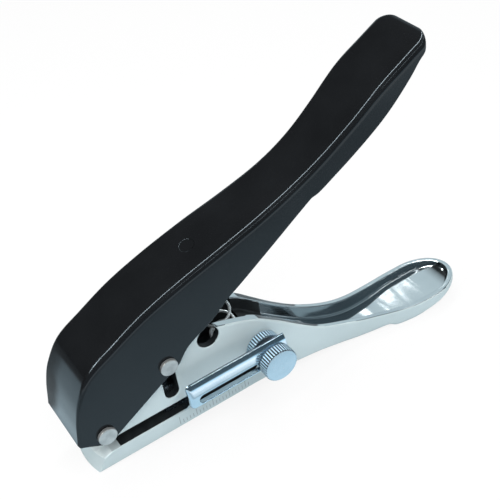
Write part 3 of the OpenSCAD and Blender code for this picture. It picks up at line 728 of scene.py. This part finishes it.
# ribs painted lighter as a painted highlight, grooves painted near black as painted shade
def finishKnurls(piece):
    radius, deep = stop["radius"], stop["knurlDeep"]
    for name in ("zincRibLit", "zincGrooveShade"):
        piece.data.materials.append(finishes[name])
    for face in piece.data.polygons:
        out = math.hypot(face.center[0] / mm - stop["screw"][0], face.center[2] / mm - stop["screw"][1])
        if abs(face.normal[1]) < stop["rimFaces"] and out > radius - deep - stop["rimFrom"]:
            face.material_index = 2 if out < radius - stop["grooveShare"] * deep else 1


def knurledPiece(name, profile):
    steps = stop["knurls"] * stop["perKnurl"]
    piece = turnedPiece(name, stop["screw"], profile, steps, finishes["zincKnob"], knurl)
    finishKnurls(piece)
    shadeSoft(piece, stop["softFrom"], False)
    return piece


# knurled rim between two faces, with a bevel on both
def knurledRim(front, back, bevel):
    radius, turn = stop["radius"], (0, 22.5, 45, 67.5, 90)
    rows = [(radius - bevel + bevel * sinOf(a), -front + bevel * (1 - cosOf(a)), a / 90) for a in turn]
    rows += [(radius, -front + bevel + (front - back - 2 * bevel) * k / 4, 1) for k in (1, 2, 3)]
    rows += [(radius - bevel + bevel * sinOf(a), -back - bevel * (1 - cosOf(a)), a / 90) for a in reversed(turn)]
    return rows


shaft, knobFront, knobBack, edge = stop["screwRadius"], stop["knobFront"], stop["knobBack"], stop["smallEdge"]
knobProfile = [(stop["axis"], -knobFront), (stop["radius"] * stop["knobFlat"], -knobFront)]
knobProfile += knurledRim(knobFront, knobBack, stop["knobBevel"])
knobProfile += [(shaft, -knobBack), (shaft, -edge), (shaft - edge, 0.0), (stop["axis"], 0.0)]
place(knurledPiece("clampKnob", knobProfile), "clamp", "zinc_knob", "clamp_screw")

bore, step, stepFront = stop["nutBore"], stop["stepRadius"], stop["stepFront"]
nutProfile = [(bore, -stepFront), (step - edge, -stepFront), (step, -stepFront + edge), (step, -stop["nutFront"])]
nutProfile += knurledRim(stop["nutFront"], stop["nutBack"], stop["nutBevel"])
nutProfile += [(bore, -stop["nutBack"]), (bore, -stepFront)]
place(knurledPiece("thumbNut", nutProfile), "nut", "zinc_knob", "thumb_nut")
print("hole punch: paper stop done")


# return spring, one round wire wound about a leaning line
coil = {"foot": (40.3, 13.6), "length": 33.43, "lean": -8.59, "radius": 3.6, "wire": 0.4, "turns": 8, "closed": 1.5,
        "closedPitch": 0.9, "phase": 3, "lowEnd": 2.14, "highEnd": 2.3, "perTurn": 28, "sides": 10, "softFrom": 50,
        "pressed": 0.37, "pressedAlong": (-0.3966, 0.918), "pressedTo": (36.7, 14.2)}
count = coil["turns"] * coil["perTurn"]
rise = coil["length"] - coil["lowEnd"] - coil["highEnd"]


# the first and last turns lie close together, the others share the rest of the height
def coilHeight(turn):
    shut, pitch = coil["closed"], coil["closedPitch"]
    wide = (rise - 2 * shut * pitch) / (coil["turns"] - 2 * shut)
    if turn < shut:
        return pitch * turn
    return min(shut * pitch + wide * (turn - shut), rise - pitch * (coil["turns"] - turn))


line = []
for i in range(count + 1):
    a = 360 * i / coil["perTurn"] + coil["phase"]
    high = coil["lowEnd"] + coilHeight(i / coil["perTurn"])
    line.append(Vector((coil["radius"] * cosOf(a), coil["radius"] * sinOf(a), high)))
lean = Matrix.Rotation(math.radians(coil["lean"]), 3, "Y")
foot = Vector((coil["foot"][0], 0, coil["foot"][1]))
rings = []
for i, p in enumerate(line):
    run = (line[min(i + 1, count)] - line[max(i - 1, 0)]).normalized()
    out = Vector((p.x, p.y, 0)).normalized()
    up = run.cross(out).normalized()
    turn = [360 * k / coil["sides"] for k in range(coil["sides"])]
    rings.append([foot + lean @ (p + coil["wire"] * (cosOf(a) * out + sinOf(a) * up)) for a in turn])
returnCoil = loftPiece("returnCoil", rings, finishes["springWire"])
shadeSoft(returnCoil, coil["softFrom"], False)
place(returnCoil, "frame", "spring_steel", "return_spring")
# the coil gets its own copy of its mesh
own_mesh(returnCoil)

# pieces whose CAD solids stay as they are
for name, finish in (("punch", "toolSteel"), ("guide_bush", "toolSteel"), ("die_bush", "toolSteel"),
                     ("spring_stud", "blackEnamel")):
    for slot in nodes[name].material_slots:
        slot.material = finishes[finish]
print("hole punch: spring and carried-over solids done")


# the tool rests on its nose and on the spoon's foot, so the floor is tilted to it
studio = {
    "floorTilt": 5.0, "restAt": (-5.05, 0.0), "floorGap": 0.02, "floorSize": 3000, "floorWhite": 0.60,
    "floorGlow": 0.88, "floorTint": (0.66, 0.88, 1.0), "poolBack": (0.28, 0.10), "poolBackFade": (0.06, 0.22),
    "poolEdge": (0.004, 0.008), "poolReach": (0.17, 0.23), "leftGain": 1.35, "leftFrom": (0.0, 0.006),
    "poolFront": (-0.012, 0.0), "frontDim": 0.55, "frontFade": (-0.085, -0.025), "farGain": 0.95,
    "farFront": (-0.10, -0.2), "skyTint": (0.78, 0.94, 1.0), "frontSky": 0.13, "frontTint": (0.62, 0.86, 1.0),
    "horizon": 1.5, "horizonFade": (0.0, 0.12), "horizonFrom": (-0.75, -0.9), "ceiling": 0.03, "backWall": 0.80,
    "backWallFrom": (0.04, 0.2), "backWallSide": (-0.1, 0.2), "ambient": 0.4,
}


def mathNode(tree, operation, first, second, third=None):
    node = tree.nodes.new("ShaderNodeMath")
    node.operation = operation
    for socket, value in zip(node.inputs, (first, second, third)):
        if isinstance(value, (int, float)):
            socket.default_value = value
        elif value:
            tree.links.new(value, socket)
    return node.outputs[0]


def mixShader(tree, share, first, second):
    node = tree.nodes.new("ShaderNodeMixShader")
    for socket, value in zip(node.inputs, (share, first, second)):
        tree.links.new(value, socket)
    return node.outputs[0]


# white for the camera; in reflections bright in front of the tool and to its left, dimmer behind it
floorFinish, tree, shader, where = newFinish("paleFloor")
tree.nodes.remove(shader)
matt = tree.nodes.new("ShaderNodeBsdfDiffuse")
matt.inputs["Color"].default_value = (studio["floorWhite"],) * 3 + (1,)
axes = tree.nodes.new("ShaderNodeSeparateXYZ")
tree.links.new(where, axes.inputs[0])
diagonal = mathNode(tree, "ADD", axes.outputs["X"], axes.outputs["Y"])
away = tree.nodes.new("ShaderNodeVectorMath")
away.operation = "LENGTH"
tree.links.new(where, away.inputs[0])
away = away.outputs["Value"]
leftPool = mathNode(tree, "MULTIPLY", spread(tree, axes.outputs["Y"], 0, 1, *studio["leftFrom"]),
                    spread(tree, diagonal, studio["leftGain"], 0, *studio["poolEdge"]))
leftPool = mathNode(tree, "MULTIPLY", leftPool, spread(tree, away, 1, 0, *studio["poolReach"]))
frontPool = mathNode(tree, "MULTIPLY", spread(tree, axes.outputs["Y"], 1, 0, *studio["poolFront"]),
                     spread(tree, axes.outputs["Y"], studio["frontDim"], 1, *studio["frontFade"]))
backPool = spread(tree, away, *studio["poolBack"], *studio["poolBackFade"])
pool = mathNode(tree, "MAXIMUM", backPool, mathNode(tree, "MAXIMUM", leftPool, frontPool))
far = spread(tree, axes.outputs["Y"], 0, 1, *studio["farFront"])
pool = mathNode(tree, "MULTIPLY_ADD", far, studio["farGain"], pool)
paths = tree.nodes.new("ShaderNodeLightPath")
dimmed = mathNode(tree, "MULTIPLY", paths.outputs["Is Glossy Ray"], mathNode(tree, "SUBTRACT", 1, pool))
glow = tree.nodes.new("ShaderNodeEmission")
tree.links.new(mathNode(tree, "SUBTRACT", 1, dimmed), glow.inputs["Strength"])
tinted = mathNode(tree, "MULTIPLY", paths.outputs["Is Glossy Ray"], mathNode(tree, "SUBTRACT", 1, far))
tree.links.new(blendColour(tree, tinted, (1, 1, 1), studio["floorTint"]), glow.inputs["Color"])
seen = mathNode(tree, "ADD", paths.outputs["Is Camera Ray"], paths.outputs["Is Glossy Ray"])
seen = mathNode(tree, "ADD", seen, paths.outputs["Is Transmission Ray"])
share = mathNode(tree, "MULTIPLY", mathNode(tree, "MINIMUM", seen, 1), studio["floorGlow"])
tree.links.new(mixShader(tree, share, matt.outputs[0], glow.outputs[0]),
               tree.nodes["Material Output"].inputs["Surface"])

tilt, size = studio["floorTilt"], studio["floorSize"]
corners = []
for dx, dy in ((-size, -size), (size, -size), (size, size), (-size, size)):
    corners.append((studio["restAt"][0] + dx * cosOf(tilt), dy,
                    studio["restAt"][1] - studio["floorGap"] - dx * sinOf(tilt)))
paleFloor = meshPiece("paleFloor", corners, [(0, 1, 2, 3)], floorFinish)

# world: white for the camera and even soft light on the surfaces; reflections see a dark ceiling, a dim bluish
# front, a bright strip along the floor and a grey wall at the back on the right
world = bpy.context.scene.world or bpy.data.worlds.new("studio")
bpy.context.scene.world = world
world.use_nodes = True
tree = world.node_tree
tree.nodes.clear()
where = tree.nodes.new("ShaderNodeTexCoord")
axes = tree.nodes.new("ShaderNodeSeparateXYZ")
tree.links.new(where.outputs["Generated"], axes.inputs[0])
corner = mathNode(tree, "MULTIPLY", spread(tree, axes.outputs["X"], 0, 1, *studio["backWallFrom"]),
                  spread(tree, axes.outputs["Y"], 0, 1, *studio["backWallSide"]))
low = spread(tree, axes.outputs["Y"], studio["frontSky"], studio["ceiling"], *studio["backWallSide"])
above = mathNode(tree, "MULTIPLY_ADD", corner, studio["backWall"] - studio["ceiling"], low)
nearFloor = mathNode(tree, "MULTIPLY", spread(tree, axes.outputs["Z"], 1, 0, *studio["horizonFade"]),
                     spread(tree, axes.outputs["Y"], 0, 1, *studio["horizonFrom"]))
gap = mathNode(tree, "SUBTRACT", studio["horizon"], above)
mirrored = mathNode(tree, "MULTIPLY_ADD", nearFloor, gap, above)


def background(strength, tint=None):
    node = tree.nodes.new("ShaderNodeBackground")
    node.inputs["Color"].default_value = (1, 1, 1, 1)
    if tint:
        tree.links.new(tint, node.inputs["Color"])
    if isinstance(strength, (int, float)):
        node.inputs["Strength"].default_value = strength
    else:
        tree.links.new(strength, node.inputs["Strength"])
    return node.outputs[0]


paths = tree.nodes.new("ShaderNodeLightPath")
skyColour = blendColour(tree, spread(tree, axes.outputs["Y"], 0, 1, *studio["backWallSide"]), studio["frontTint"],
                        studio["skyTint"])
unseen = mixShader(tree, paths.outputs["Is Glossy Ray"], background(studio["ambient"]),
                   background(mirrored, skyColour))
worldOut = tree.nodes.new("ShaderNodeOutputWorld")
tree.links.new(mixShader(tree, paths.outputs["Is Camera Ray"], unseen, background(1.0)), worldOut.inputs["Surface"])


# bright is a lamp's own brightness, where 1 is white; the cards make the white patches in the spoon
lamps = {
    "overheadStrip": dict(at=(-60, 110, 520), target=(-20, 0, 30), width=900, height=44, bright=26.0),
    "frontStrip": dict(at=(190, -208, 515), target=(40, -10, 20), width=700, height=14, bright=9.0),
    "spoonCardA": dict(at=(333, 293, 333), target=(104, 4, -6.7), width=4, height=8, bright=6.0),
    "spoonCardB": dict(at=(309, 294, 338), target=(96, 3, -6.6), width=5, height=10, bright=6.0),
    "spoonCardC": dict(at=(395, 296, 253), target=(85, 1.6, -6), width=10, height=12, bright=5.0),
    "frontSoftbox": dict(at=(60, -250, 430), target=(35, -7, 14), width=600, height=240, bright=6.0, mirrored=False),
    "sideSoftbox": dict(at=(-350, -40, 385), target=(0, 0, 30), width=50, height=150, bright=20.0),
}


def softbox(name, at, target, width, height, bright, mirrored=True):
    lamp = bpy.data.lights.new(name, "AREA")
    lamp.shape = "RECTANGLE"
    lamp.size = width * mm
    lamp.size_y = height * mm
    lamp.energy = bright * math.pi * width * height * mm * mm
    box = bpy.data.objects.new(name, lamp)
    bpy.context.scene.collection.objects.link(box)
    box.visible_glossy = mirrored
    box.location = Vector(at) * mm
    box.rotation_euler = (Vector(target) - Vector(at)).to_track_quat("-Z", "Y").to_euler()


for name, lamp in lamps.items():
    softbox(name, **lamp)

# camera that was fitted to the photo
shot = {"eye": (-36.7, -173.8, 201.47), "right": (0.8321, -0.5399, -0.1269), "up": (0.434, 0.4914, 0.7551),
        "back": (-0.3454, -0.6834, 0.6432), "lens": 73.28, "sensor": 36.0, "near": 0.01}
lens = bpy.data.cameras.new("shot")
lens.sensor_width = shot["sensor"]
lens.sensor_height = shot["sensor"]
lens.sensor_fit = "HORIZONTAL"
lens.lens = shot["lens"]
lens.clip_start = shot["near"]
view = bpy.data.objects.new("shot", lens)
bpy.context.scene.collection.objects.link(view)
pose = Matrix.Identity(4)
for row in range(3):
    for column, axis in enumerate(("right", "up", "back")):
        pose[row][column] = shot[axis][row]
    pose[row][3] = shot["eye"][row] * mm
view.matrix_world = pose
bpy.context.scene.camera = view
bpy.context.scene.view_settings.view_transform = "Standard"
print("hole punch: stage and camera set")
